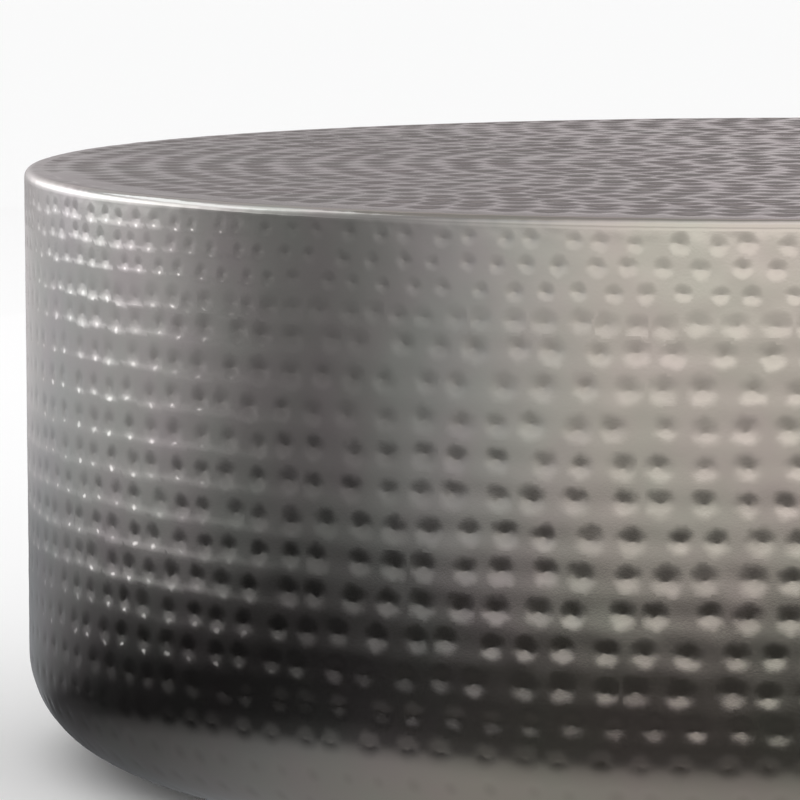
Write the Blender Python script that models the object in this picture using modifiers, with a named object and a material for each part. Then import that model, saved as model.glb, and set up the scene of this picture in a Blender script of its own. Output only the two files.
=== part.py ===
"""A low round coffee table: a drum of hammered sheet metal round a light welded steel frame.

The origin is on the floor, on the drum's axis. Units are metres, +Z is up and -Y is the front.
"""

import math

import bmesh
import bpy
from mathutils import Matrix

# Overall sizes
DRUM_DIAMETER = 0.914
TABLE_HEIGHT = 0.343

# Hammered sheet metal
SHEET = 0.0016
TOP_EDGE_RADIUS = 0.005
SKIRT_DEPTH = 0.060
BASE_RADIUS = 0.058
BASE_RISE = 0.010
LIP_WIDTH = 0.034
STRAP_WIDTH = 0.040
STRAP_THICKNESS = 0.0020

# Board under the top, and the angle hoop that it sits on
BOARD_THICKNESS = 0.012
SEAT_WIDTH = 0.025
HOOP_THICKNESS = 0.003
JOINT_LAP = 0.018

# Welded bars of the frame
BAR_SIDE = 0.020
BAR_WALL = 0.0015
RIB_COUNT = 6
RIB_FIRST_ANGLE = 30.0
RIB_WIDTH = 0.025
RIB_THICKNESS = 0.004
RIB_FOOT = 0.008
BASE_HOOP_THICKNESS = 0.005

# Floor glides and their countersunk screws
GLIDE_COUNT = 6
GLIDE_FIRST_ANGLE = 0.0
GLIDE_DIAMETER = 0.028
GLIDE_HEIGHT = 0.006
GLIDE_CHAMFER = 0.001
GLIDE_SCREW_SHANK = 0.0040
GLIDE_SCREW_HEAD = 0.0080
GLIDE_SCREW_RECESS = 0.0010
GLIDE_SCREW_RIM = 0.0005

# Pan-head screws that hold the board down on its hoop
BOARD_SCREW_COUNT = 12
BOARD_SCREW_FIRST_ANGLE = 15.0
BOARD_SCREW_SHANK = 0.0040
BOARD_SCREW_HEAD = 0.0078
BOARD_SCREW_HEAD_HEIGHT = 0.0024
BOARD_SCREW_BITE = 0.0080
BOARD_SCREW_POINT = 0.0020

# Clearance between neighbours, and how finely round shapes are cut
GAP = 0.0003
MERGE = 0.00001
SEGMENTS = 72
CURVE_STEPS = 6
EDGE_STEPS = 3
SMALL_SEGMENTS = 12
STRAP_STEPS = 3

# Heights that follow from the sizes above
BOARD_TOP = TABLE_HEIGHT - SHEET - GAP
BOARD_BOTTOM = BOARD_TOP - BOARD_THICKNESS
SEAT_TOP = BOARD_BOTTOM - GAP
SEAT_BOTTOM = SEAT_TOP - HOOP_THICKNESS
SKIRT_BOTTOM = TABLE_HEIGHT - SKIRT_DEPTH
WALL_TOP = SKIRT_BOTTOM - GAP
HOOP_BOTTOM = WALL_TOP - JOINT_LAP
CURVE_Z = GLIDE_HEIGHT + BASE_RADIUS
BASE_TOP = CURVE_Z + BASE_RISE
WALL_BOTTOM = BASE_TOP + GAP
LIP_TOP = GLIDE_HEIGHT + SHEET
BASE_HOOP_BOTTOM = LIP_TOP + GAP
BASE_HOOP_TOP = BASE_HOOP_BOTTOM + BASE_HOOP_THICKNESS

# Radii that follow from the sizes above. FLAT turns a corner radius into a facet's own radius.
FLAT = math.cos(math.pi / SEGMENTS)
DRUM_RADIUS = DRUM_DIAMETER / 2
SHEET_INNER = DRUM_RADIUS - SHEET
HOOP_OUTER = SHEET_INNER - GAP
HOOP_INNER = HOOP_OUTER - HOOP_THICKNESS
SEAT_INNER = HOOP_OUTER - SEAT_WIDTH
CURVE_R = DRUM_RADIUS - BASE_RADIUS
LIP_INNER = CURVE_R - LIP_WIDTH
RIB_FOOT_END = CURVE_R - RIB_FOOT
BASE_HOOP_OUTER = RIB_FOOT_END - GAP
RIB_OUTER = math.sqrt((SHEET_INNER * FLAT - GAP) ** 2 - (RIB_WIDTH / 2) ** 2)
STRAP_OUTER = SHEET_INNER * FLAT - GAP
GLIDE_CIRCLE = CURVE_R - LIP_WIDTH / 2
BOARD_SCREW_CIRCLE = (HOOP_INNER + SEAT_INNER) / 2


def start_scene():
    """Empty the scene and give back the parts' collection, the cutters' collection and the root."""
    for obj in list(bpy.data.objects):
        bpy.data.objects.remove(obj, do_unlink=True)
    parts = bpy.data.collections.new("hammered_drum_table")
    cutters = bpy.data.collections.new("cutters")
    for collection in (parts, cutters):
        bpy.context.scene.collection.children.link(collection)
    root = bpy.data.objects.new("table_origin", None)
    parts.objects.link(root)
    return parts, cutters, root


def material(name, colour, roughness, metallic):
    made = bpy.data.materials.new(name)
    made.use_nodes = True
    shader = made.node_tree.nodes["Principled BSDF"]
    shader.inputs["Base Color"].default_value = (*colour, 1.0)
    shader.inputs["Roughness"].default_value = roughness
    shader.inputs["Metallic"].default_value = metallic
    return made


PARTS, CUTTERS, ROOT = start_scene()
HAMMERED = material("hammered_nickel_sheet", (0.46, 0.44, 0.42), 0.30, 1.0)
FRAME = material("black_painted_steel", (0.025, 0.025, 0.027), 0.50, 0.0)
BOARD = material("fibre_board", (0.30, 0.20, 0.12), 0.80, 0.0)
NYLON = material("black_nylon", (0.020, 0.020, 0.020), 0.45, 0.0)
ZINC = material("zinc_plated_steel", (0.60, 0.60, 0.58), 0.35, 1.0)


def add_part(name, mesh, finish):
    """Put a mesh in the scene as one part of the table."""
    obj = bpy.data.objects.new(name, mesh)
    mesh.materials.append(finish)
    mesh.shade_smooth()
    PARTS.objects.link(obj)
    obj.parent = ROOT
    return obj


def outline_mesh(name, points, closed):
    """A line of edges through (radius, height) points, in the plane y = 0."""
    shape = bmesh.new()
    corners = [shape.verts.new((r, 0.0, z)) for r, z in points]
    for a, b in zip(corners, corners[1:]):
        shape.edges.new((a, b))
    if closed:
        shape.edges.new((corners[-1], corners[0]))
    mesh = bpy.data.meshes.new(name)
    shape.to_mesh(mesh)
    shape.free()
    return mesh


def arc(centre_r, centre_z, radius, start, end, steps):
    """Points of a round corner, from one angle to another, in degrees above the +R direction."""
    turns = [math.radians(start + (end - start) * i / steps) for i in range(steps + 1)]
    return [(centre_r + radius * math.cos(t), centre_z + radius * math.sin(t)) for t in turns]


def turn(obj, segments=SEGMENTS, angle=2 * math.pi):
    """Turn an outline about the Z axis."""
    screw = obj.modifiers.new("turn", "SCREW")
    screw.axis = "Z"
    screw.angle = angle
    screw.steps = segments
    screw.render_steps = segments
    screw.use_merge_vertices = True
    screw.merge_threshold = MERGE


def thicken(obj, thickness):
    """Give an open sheet its thickness, inwards from the face that is drawn."""
    solid = obj.modifiers.new("thickness", "SOLIDIFY")
    solid.thickness = thickness
    solid.offset = -1.0
    solid.use_even_offset = True


def drill(obj, cutter):
    hole = obj.modifiers.new(cutter.name, "BOOLEAN")
    hole.operation = "DIFFERENCE"
    hole.solver = "EXACT"
    hole.object = cutter


def turned_part(name, points, closed, finish, segments=SEGMENTS):
    obj = add_part(name, outline_mesh(name, points, closed), finish)
    turn(obj, segments)
    return obj


def turned_sheet(name, points, finish):
    obj = turned_part(name, points, False, finish)
    thicken(obj, SHEET)
    return obj


def ring_angles(count, first):
    """Even steps round the axis, in radians, from a first angle in degrees."""
    return [math.radians(first) + 2 * math.pi * i / count for i in range(count)]


def place_round(obj, radius, angle):
    obj.location = (radius * math.cos(angle), radius * math.sin(angle), 0.0)
    obj.rotation_euler = (0.0, 0.0, angle)


def hole_cutter(name, diameter, bottom, top, radius, angles):
    """Upright round cutters on a circle, all in one helper object."""
    shape = bmesh.new()
    for angle in angles:
        middle = Matrix.Translation(
            (radius * math.cos(angle), radius * math.sin(angle), (bottom + top) / 2)
        )
        bmesh.ops.create_cone(
            shape,
            cap_ends=True,
            segments=SMALL_SEGMENTS,
            radius1=diameter / 2,
            radius2=diameter / 2,
            depth=top - bottom,
            matrix=middle,
        )
    mesh = bpy.data.meshes.new(name)
    shape.to_mesh(mesh)
    shape.free()
    cutter = bpy.data.objects.new(name, mesh)
    cutter.hide_render = True
    cutter.display_type = "WIRE"
    CUTTERS.objects.link(cutter)
    return cutter


def top_pan():
    """The flat top and its short skirt, raised from one disc with a rounded edge."""
    edge_r = DRUM_RADIUS - TOP_EDGE_RADIUS
    edge_z = TABLE_HEIGHT - TOP_EDGE_RADIUS
    points = [(0.0, TABLE_HEIGHT)]
    points += arc(edge_r, edge_z, TOP_EDGE_RADIUS, 90, 0, EDGE_STEPS)
    points += [(DRUM_RADIUS, SKIRT_BOTTOM)]
    turned_sheet("top_pan", points, HAMMERED)


def wall_half(name, start):
    """One of the two rolled sheets of the side, from seam to seam."""
    obj = add_part(
        name,
        outline_mesh(name, [(DRUM_RADIUS, WALL_TOP), (DRUM_RADIUS, WALL_BOTTOM)], False),
        HAMMERED,
    )
    seam_angle = GAP / 2 / DRUM_RADIUS
    turn(obj, SEGMENTS // 2, math.pi - 2 * seam_angle)
    thicken(obj, SHEET)
    obj.rotation_euler = (0.0, 0.0, start + seam_angle)


def base_ring(glide_angles):
    """The spun foot of the drum: a short upright edge, a large round and a flat lip below."""
    points = [(DRUM_RADIUS, BASE_TOP)]
    points += arc(CURVE_R, CURVE_Z, BASE_RADIUS, 0, -90, CURVE_STEPS)
    points += [(LIP_INNER, GLIDE_HEIGHT)]
    ring = turned_sheet("base_ring", points, HAMMERED)
    holes = hole_cutter(
        "lip_holes",
        GLIDE_SCREW_SHANK + 2 * GAP,
        GLIDE_HEIGHT - SHEET,
        LIP_TOP + SHEET,
        GLIDE_CIRCLE,
        glide_angles,
    )
    drill(ring, holes)


def seam_strap(name, angle):
    """A thin strap behind an upright seam of the side."""
    top = HOOP_BOTTOM - GAP
    obj = add_part(
        name,
        outline_mesh(name, [(STRAP_OUTER, top), (STRAP_OUTER, WALL_BOTTOM)], False),
        HAMMERED,
    )
    span = STRAP_WIDTH / STRAP_OUTER
    turn(obj, STRAP_STEPS, span)
    thicken(obj, STRAP_THICKNESS)
    obj.rotation_euler = (0.0, 0.0, angle - span / 2)


def top_hoop(screw_holes):
    """A rolled angle: its seat carries the board, and its long leg backs the joint under the skirt."""
    points = [
        (HOOP_OUTER, SEAT_TOP),
        (HOOP_OUTER, HOOP_BOTTOM),
        (HOOP_INNER, HOOP_BOTTOM),
        (HOOP_INNER, SEAT_BOTTOM),
        (SEAT_INNER, SEAT_BOTTOM),
        (SEAT_INNER, SEAT_TOP),
    ]
    drill(turned_part("top_hoop", points, True, FRAME), screw_holes)


def top_board(screw_holes):
    """A round board that backs the thin top, chamfered to clear the pan's rounded edge."""
    radius = SHEET_INNER - GAP
    points = [
        (0.0, BOARD_TOP),
        (radius - TOP_EDGE_RADIUS, BOARD_TOP),
        (radius, BOARD_TOP - TOP_EDGE_RADIUS),
        (radius, BOARD_BOTTOM),
        (0.0, BOARD_BOTTOM),
    ]
    drill(turned_part("top_board", points, False, BOARD), screw_holes)


def square_tube(name, length, centre, angle):
    """An open-ended square tube, lying flat, with its top level with the hoop's seat."""
    shape = bmesh.new()
    size = Matrix.Diagonal((length, BAR_SIDE, BAR_SIDE, 1.0))
    bmesh.ops.create_cube(shape, size=1.0, matrix=size)
    ends = [face for face in shape.faces if abs(face.normal.x) > 0.5]
    bmesh.ops.delete(shape, geom=ends, context="FACES_ONLY")
    mesh = bpy.data.meshes.new(name)
    shape.to_mesh(mesh)
    shape.free()
    tube = add_part(name, mesh, FRAME)
    mesh.shade_flat()
    thicken(tube, BAR_WALL)
    tube.location = (*centre, SEAT_TOP - BAR_SIDE / 2)
    tube.rotation_euler = (0.0, 0.0, angle)


def cross_bars():
    """One bar across the whole top and two half bars that butt against its sides."""
    reach = math.sqrt((SEAT_INNER * FLAT) ** 2 - (BAR_SIDE / 2) ** 2) - GAP
    start = BAR_SIDE / 2 + GAP
    middle = (start + reach) / 2
    square_tube("cross_bar", 2 * reach, (0.0, 0.0), 0.0)
    square_tube("front_half_bar", reach - start, (0.0, -middle), math.pi / 2)
    square_tube("back_half_bar", reach - start, (0.0, middle), math.pi / 2)


def rib(name, angle):
    """A flat bar bent to the inside of the drum, from the top hoop down to a short level foot."""
    curve_radius = RIB_OUTER - CURVE_R
    points = [(RIB_OUTER, HOOP_BOTTOM - GAP)]
    points += arc(CURVE_R, CURVE_Z, curve_radius, 0, -90, CURVE_STEPS)
    points += [(RIB_FOOT_END, CURVE_Z - curve_radius)]
    mesh = outline_mesh(name, points, False)
    shape = bmesh.new()
    shape.from_mesh(mesh)
    bmesh.ops.translate(shape, verts=shape.verts[:], vec=(0.0, -RIB_WIDTH / 2, 0.0))
    wide = bmesh.ops.extrude_edge_only(shape, edges=shape.edges[:])
    moved = [item for item in wide["geom"] if isinstance(item, bmesh.types.BMVert)]
    bmesh.ops.translate(shape, verts=moved, vec=(0.0, RIB_WIDTH, 0.0))
    bmesh.ops.recalc_face_normals(shape, faces=shape.faces[:])
    shape.faces.ensure_lookup_table()
    if shape.faces[0].normal.x < 0.0:
        bmesh.ops.reverse_faces(shape, faces=shape.faces[:])
    shape.to_mesh(mesh)
    shape.free()
    bar = add_part(name, mesh, FRAME)
    thicken(bar, RIB_THICKNESS)
    bar.rotation_euler = (0.0, 0.0, angle)


def base_hoop(glide_angles):
    """A flat ring on the foot's lip that takes the glide screws and the ribs' lower ends."""
    points = [
        (BASE_HOOP_OUTER, BASE_HOOP_TOP),
        (BASE_HOOP_OUTER, BASE_HOOP_BOTTOM),
        (LIP_INNER, BASE_HOOP_BOTTOM),
        (LIP_INNER, BASE_HOOP_TOP),
    ]
    holes = hole_cutter(
        "base_hoop_holes",
        GLIDE_SCREW_SHANK + 2 * GAP,
        BASE_HOOP_BOTTOM - SHEET,
        BASE_HOOP_TOP + SHEET,
        GLIDE_CIRCLE,
        glide_angles,
    )
    drill(turned_part("base_hoop", points, True, FRAME), holes)


def glide(name, angle):
    """A moulded pad under the lip, with a countersunk hole for its screw."""
    outer = GLIDE_DIAMETER / 2
    head = GLIDE_SCREW_HEAD / 2 + GAP
    bore = GLIDE_SCREW_SHANK / 2 + GAP
    seat = GLIDE_SCREW_RECESS + GLIDE_SCREW_RIM + GAP
    points = [
        (outer, GLIDE_HEIGHT - GAP),
        (outer, GLIDE_CHAMFER),
        (outer - GLIDE_CHAMFER, 0.0),
        (head, 0.0),
        (head, seat),
        (bore, seat + head - bore),
        (bore, GLIDE_HEIGHT - GAP),
    ]
    place_round(turned_part(name, points, True, NYLON, SMALL_SEGMENTS), GLIDE_CIRCLE, angle)


def glide_screw(name, angle):
    """A countersunk screw, up through the glide and the lip into the base hoop."""
    head = GLIDE_SCREW_HEAD / 2
    shank = GLIDE_SCREW_SHANK / 2
    cone = GLIDE_SCREW_RECESS + GLIDE_SCREW_RIM
    points = [
        (0.0, BASE_HOOP_TOP),
        (shank, BASE_HOOP_TOP),
        (shank, cone + head - shank),
        (head, cone),
        (head, GLIDE_SCREW_RECESS),
        (0.0, GLIDE_SCREW_RECESS),
    ]
    place_round(turned_part(name, points, False, ZINC, SMALL_SEGMENTS), GLIDE_CIRCLE, angle)


def board_screw(name, angle):
    """A pan-head screw, up through the hoop's seat into the board."""
    head = BOARD_SCREW_HEAD / 2
    shank = BOARD_SCREW_SHANK / 2
    tip = BOARD_BOTTOM + BOARD_SCREW_BITE
    head_top = SEAT_BOTTOM - GAP
    head_bottom = head_top - BOARD_SCREW_HEAD_HEIGHT
    points = [
        (0.0, tip),
        (shank, tip - BOARD_SCREW_POINT),
        (shank, head_top),
        (head, head_top),
        (head, head_top - BOARD_SCREW_HEAD_HEIGHT / 2),
        (shank, head_bottom),
        (0.0, head_bottom),
    ]
    place_round(turned_part(name, points, False, ZINC, SMALL_SEGMENTS), BOARD_SCREW_CIRCLE, angle)


def build_table():
    glide_angles = ring_angles(GLIDE_COUNT, GLIDE_FIRST_ANGLE)
    rib_angles = ring_angles(RIB_COUNT, RIB_FIRST_ANGLE)
    screw_angles = ring_angles(BOARD_SCREW_COUNT, BOARD_SCREW_FIRST_ANGLE)
    screw_holes = hole_cutter(
        "board_screw_holes",
        BOARD_SCREW_SHANK + 2 * GAP,
        SEAT_BOTTOM - HOOP_THICKNESS,
        BOARD_BOTTOM + BOARD_SCREW_BITE + GAP,
        BOARD_SCREW_CIRCLE,
        screw_angles,
    )

    top_pan()
    wall_half("back_wall", 0.0)
    wall_half("front_wall", math.pi)
    base_ring(glide_angles)
    seam_strap("right_seam_strap", 0.0)
    seam_strap("left_seam_strap", math.pi)
    top_hoop(screw_holes)
    top_board(screw_holes)
    cross_bars()
    for number, angle in enumerate(rib_angles, 1):
        rib(f"rib_{number}", angle)
    base_hoop(glide_angles)
    for number, angle in enumerate(glide_angles, 1):
        glide(f"glide_{number}", angle)
        glide_screw(f"glide_screw_{number}", angle)
    for number, angle in enumerate(screw_angles, 1):
        board_screw(f"board_screw_{number}", angle)


build_table()
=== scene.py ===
"""The looks of a low round coffee table: a hammered nickel drum over a black steel frame."""

import math

import bmesh
import bpy
from mathutils import Matrix


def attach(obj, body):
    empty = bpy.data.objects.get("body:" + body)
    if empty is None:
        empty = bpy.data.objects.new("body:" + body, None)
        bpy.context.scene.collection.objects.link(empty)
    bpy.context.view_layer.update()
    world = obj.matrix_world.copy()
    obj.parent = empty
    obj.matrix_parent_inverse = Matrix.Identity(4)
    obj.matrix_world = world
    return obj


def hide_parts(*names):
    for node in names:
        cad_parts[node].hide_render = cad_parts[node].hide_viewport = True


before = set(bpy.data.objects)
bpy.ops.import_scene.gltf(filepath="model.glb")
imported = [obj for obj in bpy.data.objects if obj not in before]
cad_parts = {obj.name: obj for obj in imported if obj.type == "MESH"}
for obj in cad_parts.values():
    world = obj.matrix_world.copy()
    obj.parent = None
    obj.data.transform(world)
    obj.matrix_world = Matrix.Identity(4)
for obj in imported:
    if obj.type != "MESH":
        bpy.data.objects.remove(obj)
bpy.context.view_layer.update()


# The frame: a rolled angle hoop, square tubes, flat ribs and a flat floor ring, all mild steel.
# The pieces are cut, bent and welded together, then sprayed with a black semi-matte paint.


def linear(code):
    """An sRGB hex colour as linear red, green, blue and alpha."""
    parts = [int(code[i : i + 2], 16) / 255 for i in (1, 3, 5)]
    bright = [c / 12.92 if c <= 0.04045 else ((c + 0.055) / 1.055) ** 2.4 for c in parts]
    return (*bright, 1.0)


def add(tree, kind, inputs=(), output=0, stops=(), **settings):
    """Add one node with its settings, fill or link its inputs, and give back one of its outputs."""
    node = tree.nodes.new(kind)
    for name, value in settings.items():
        setattr(node, name, value)
    for place, (position, colour) in enumerate(stops):
        ramp = node.color_ramp.elements
        stop = ramp[place] if place < 2 else ramp.new(position)
        stop.position = position
        stop.color = colour
    pairs = inputs.items() if isinstance(inputs, dict) else enumerate(inputs)
    for key, value in pairs:
        if isinstance(value, bpy.types.NodeSocket):
            tree.links.new(value, node.inputs[key])
        elif value is not None:
            node.inputs[key].default_value = value
    return node.outputs[output] if len(node.outputs) else node


def new_finish(name):
    """An empty material and its node tree."""
    made = bpy.data.materials.new(name)
    made.use_nodes = True
    made.node_tree.nodes.clear()
    return made, made.node_tree


def dress(names, finish):
    """Give CAD nodes a finish in place of the plain one that they were packed with."""
    for name in names:
        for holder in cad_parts[name].material_slots:
            holder.material = finish


# Sprayed alkyd paint on steel: near black, a soft sheen and the faint ripple of a sprayed coat.
# A noise counts its waves in a metre, so its scale is 1000 over its size in millimetres, and most of
# it lies in the range below.
NOISE_RANGE = (0.3, 0.7)
PAINT_RIPPLE_MM = 1.6
PAINT_CLOUD_MM = 45
PAINT_ROUGHNESS = (0.42, 0.55)
black_paint, tree = new_finish("black_sprayed_steel")
here = add(tree, "ShaderNodeTexCoord", output="Object")
cloud = add(
    tree, "ShaderNodeTexNoise", {"Vector": here, "Scale": 1000 / PAINT_CLOUD_MM, "Detail": 4.0}
)
ripple = add(
    tree, "ShaderNodeTexNoise", {"Vector": here, "Scale": 1000 / PAINT_RIPPLE_MM, "Detail": 1.0}
)
colour = add(
    tree,
    "ShaderNodeValToRGB",
    {"Fac": cloud},
    stops=[(0.3, linear("#1B1B1C")), (0.7, linear("#262526"))],
)
sheen = add(tree, "ShaderNodeMapRange", [cloud, *NOISE_RANGE, *PAINT_ROUGHNESS])
bump = add(tree, "ShaderNodeBump", {"Height": ripple, "Strength": 0.25, "Distance": 0.0002})
shader = add(
    tree,
    "ShaderNodeBsdfPrincipled",
    {"Base Color": colour, "Roughness": sheen, "Normal": bump},
)
add(tree, "ShaderNodeOutputMaterial", {"Surface": shader})

dress(["top_hoop", "cross_bar", "front_half_bar", "back_half_bar", "base_hoop"], black_paint)
dress([f"rib_{number}" for number in range(1, 7)], black_paint)


# The board under the top: one round of 12 mm fibre board, laid on the hoop's seat.
# It stiffens the thin metal top and is left raw, because only its underside can be seen.

# Raw fibre board: warm brown, matt, with fine pale and dark fibres pressed flat.
FIBRE_MM = 2.2
BOARD_CLOUD_MM = 70
raw_board, tree = new_finish("raw_fibre_board")
here = add(tree, "ShaderNodeTexCoord", output="Object")
fibre = add(
    tree,
    "ShaderNodeTexNoise",
    {"Vector": here, "Scale": 1000 / FIBRE_MM, "Detail": 5.0, "Roughness": 0.7, "Distortion": 1.5},
)
cloud = add(
    tree, "ShaderNodeTexNoise", {"Vector": here, "Scale": 1000 / BOARD_CLOUD_MM, "Detail": 3.0}
)
fleck = add(
    tree,
    "ShaderNodeValToRGB",
    {"Fac": fibre},
    stops=[
        (0.30, linear("#7A5A3C")),
        (0.52, linear("#9A7650")),
        (0.72, linear("#B8966C")),
    ],
)
# A mix has its numbers in inputs 2 and 3, its vectors in 4 and 5 and its colours in 6 and 7.
colour = add(
    tree,
    "ShaderNodeMix",
    {"Factor": cloud, 6: fleck, 7: linear("#8C6A47")},
    output=2,
    data_type="RGBA",
)
bump = add(tree, "ShaderNodeBump", {"Height": fibre, "Strength": 0.3, "Distance": 0.0003})
shader = add(
    tree, "ShaderNodeBsdfPrincipled", {"Base Color": colour, "Roughness": 0.85, "Normal": bump}
)
add(tree, "ShaderNodeOutputMaterial", {"Surface": shader})

dress(["top_board"], raw_board)


# The screws: twelve pan-head screws up through the hoop into the board, and six countersunk
# screws up through the glides. They are cold-headed steel with a bright zinc plating.

# Zinc plate: a pale cool metal with a slight yellow and blue cast in patches.
ZINC_PATCH_MM = 3
ZINC_ROUGHNESS = (0.28, 0.42)
zinc_plate, tree = new_finish("zinc_plated_steel")
here = add(tree, "ShaderNodeTexCoord", output="Object")
patch = add(
    tree, "ShaderNodeTexNoise", {"Vector": here, "Scale": 1000 / ZINC_PATCH_MM, "Detail": 2.0}
)
colour = add(
    tree,
    "ShaderNodeValToRGB",
    {"Fac": patch},
    stops=[(0.35, linear("#BFC3C8")), (0.65, linear("#D2CFC2"))],
)
worn = add(tree, "ShaderNodeMapRange", [patch, *NOISE_RANGE, *ZINC_ROUGHNESS])
shader = add(
    tree, "ShaderNodeBsdfPrincipled", {"Base Color": colour, "Metallic": 1.0, "Roughness": worn}
)
add(tree, "ShaderNodeOutputMaterial", {"Surface": shader})

dress([f"board_screw_{number}" for number in range(1, 13)], zinc_plate)
dress([f"glide_screw_{number}" for number in range(1, 7)], zinc_plate)


# The glides: six round pads under the foot's lip, that the table stands on.
# Each is moulded in black nylon, with a countersunk hole for its screw.

# Moulded nylon: black with a waxy sheen, and the fine spark grain of its mould.
NYLON_GRAIN_MM = 0.8
NYLON_ROUGHNESS = (0.40, 0.55)
black_nylon, tree = new_finish("moulded_black_nylon")
here = add(tree, "ShaderNodeTexCoord", output="Object")
grain = add(
    tree, "ShaderNodeTexNoise", {"Vector": here, "Scale": 1000 / NYLON_GRAIN_MM, "Detail": 2.0}
)
worn = add(tree, "ShaderNodeMapRange", [grain, *NOISE_RANGE, *NYLON_ROUGHNESS])
bump = add(tree, "ShaderNodeBump", {"Height": grain, "Strength": 0.3, "Distance": 0.0001})
shader = add(
    tree,
    "ShaderNodeBsdfPrincipled",
    {"Base Color": linear("#19191A"), "Roughness": worn, "Normal": bump},
)
add(tree, "ShaderNodeOutputMaterial", {"Surface": shader})

dress([f"glide_{number}" for number in range(1, 7)], black_nylon)


# The drum's side: two half sheets rolled to the drum's radius and beaten all over in level rows,
# with a blunt punch and a hammer, about twenty millimetres apart. Soldered at two upright seams.

# Antique nickel on beaten metal: a satin warm grey that mirrors the room softly, with faint pink
# and green casts in patches, a little darker in the bottom of each mark, and fine rubbed scratches.
CAST_PATCH_MM = 55
RUB_MM = 1.1
NICKEL_ROUGHNESS = (0.10, 0.14)
SHADED_DEPTHS = (0.5, 1.0)
MARK_SHADE = (0.0, 0.25)
nickel, tree = new_finish("antique_nickel_plate")
here = add(tree, "ShaderNodeTexCoord", output="Object")
mark = add(tree, "ShaderNodeAttribute", output="Fac", attribute_name="mark")
patch = add(
    tree, "ShaderNodeTexNoise", {"Vector": here, "Scale": 1000 / CAST_PATCH_MM, "Detail": 3.0}
)
rub = add(
    tree,
    "ShaderNodeTexNoise",
    {"Vector": here, "Scale": 1000 / RUB_MM, "Detail": 3.0, "Roughness": 0.6},
)
cast = add(
    tree,
    "ShaderNodeValToRGB",
    {"Fac": patch},
    stops=[
        (0.30, linear("#B3B1A8")),
        (0.50, linear("#B5AFA8")),
        (0.70, linear("#B7ADA9")),
    ],
)
shade = add(tree, "ShaderNodeMapRange", [mark, *SHADED_DEPTHS, *MARK_SHADE])
colour = add(
    tree,
    "ShaderNodeMix",
    {"Factor": shade, 6: cast, 7: linear("#8A837C")},
    output=2,
    data_type="RGBA",
)
satin = add(tree, "ShaderNodeMapRange", [rub, *NOISE_RANGE, *NICKEL_ROUGHNESS])


def fade(tree, amount, limits):
    """An amount that comes in smoothly between two values of each thing that it depends on."""
    for value, none_at, full_at in limits:
        share = add(
            tree,
            "ShaderNodeMapRange",
            {"Value": value, "From Min": none_at, "From Max": full_at},
            interpolation_type="SMOOTHSTEP",
        )
        amount = add(tree, "ShaderNodeMath", [amount, share], operation="MULTIPLY")
    return amount


# Each mark is a shallow dent with a level crease across its bottom, crisper than the mesh, so the way
# the metal faces there is worked out from the offset to the blow, counted in radiuses of the mark.
CREASE_END = 0.06
CREASE_LONG = 0.50
UNEVEN_MM = 7
UNEVEN = 0.45
NOISE_MIDDLE = 0.5
MARK_RIM = (1.0, 0.40)
from_blow = add(tree, "ShaderNodeAttribute", output="Vector", attribute_name="from_blow")
uneven = add(
    tree, "ShaderNodeTexNoise", {"Vector": here, "Scale": 1000 / UNEVEN_MM, "Detail": 1.0}, output=1
)
uneven = add(tree, "ShaderNodeVectorMath", [uneven, (NOISE_MIDDLE,) * 3], operation="SUBTRACT")
uneven = add(tree, "ShaderNodeVectorMath", {0: uneven, "Scale": UNEVEN}, operation="SCALE")
from_blow = add(tree, "ShaderNodeVectorMath", [from_blow, uneven], operation="ADD")
lean = add(tree, "ShaderNodeAttribute", output="Fac", attribute_name="lean")
reach = add(tree, "ShaderNodeVectorMath", [from_blow], output=1, operation="LENGTH")
across = add(
    tree, "ShaderNodeVectorMath", [from_blow, (CREASE_LONG, CREASE_LONG, 1.0)], operation="MULTIPLY"
)
at_point = add(tree, "ShaderNodeVectorMath", [across], output=1, operation="LENGTH")
at_point = add(
    tree, "ShaderNodeMapRange", {"Value": at_point, "From Max": CREASE_END, "To Max": -1.0}
)
slope = add(tree, "ShaderNodeMath", [lean, at_point], operation="MULTIPLY")
slope = fade(tree, slope, [(reach, *MARK_RIM)])
tilt = add(tree, "ShaderNodeVectorMath", [across], operation="NORMALIZE")
tilt = add(tree, "ShaderNodeVectorMath", {0: tilt, "Scale": slope}, operation="SCALE")
# The punch's heel presses a small facet at the foot of each mark, tipped up, which glints, and along
# a row the heels run together into a faint ridge. No two are pressed alike. They are deepest towards
# the two seams, where straps back the sheet, and the last rows above the floor have none. The pairs
# of leans, heights and sides say where there is nothing of them yet and where there is all of it.
HEEL_DROP = 0.56
HEEL_WIDTH = 0.19
HEEL_SPREAD = 0.55
HEEL_TIP = 0.13
HEEL_PATCH_MM = 14
HEEL_PATCHES = (0.35, 0.65)
HEEL_PRESS = (0.35, 1.10)
HEEL_LEANS = (0.0, 0.02)
HEEL_HEIGHTS = (0.080, 0.100)
HEEL_SIDES = (0.25, 0.36)
RIDGE_HEIGHTS = (0.10, 0.15)
heel = add(tree, "ShaderNodeVectorMath", [from_blow, (0.0, 0.0, HEEL_DROP)], operation="ADD")
heel = add(
    tree, "ShaderNodeVectorMath", [heel, (HEEL_SPREAD, HEEL_SPREAD, 1.0)], operation="MULTIPLY"
)
heel = add(tree, "ShaderNodeVectorMath", [heel], output=1, operation="LENGTH")
facet = add(
    tree,
    "ShaderNodeMapRange",
    {"Value": heel, "From Min": HEEL_WIDTH, "From Max": 0.0, "To Max": HEEL_TIP},
    interpolation_type="SMOOTHSTEP",
)
press = add(
    tree, "ShaderNodeTexNoise", {"Vector": here, "Scale": 1000 / HEEL_PATCH_MM, "Detail": 0.0}
)
press = add(tree, "ShaderNodeMapRange", [press, *HEEL_PATCHES, *HEEL_PRESS])
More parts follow.
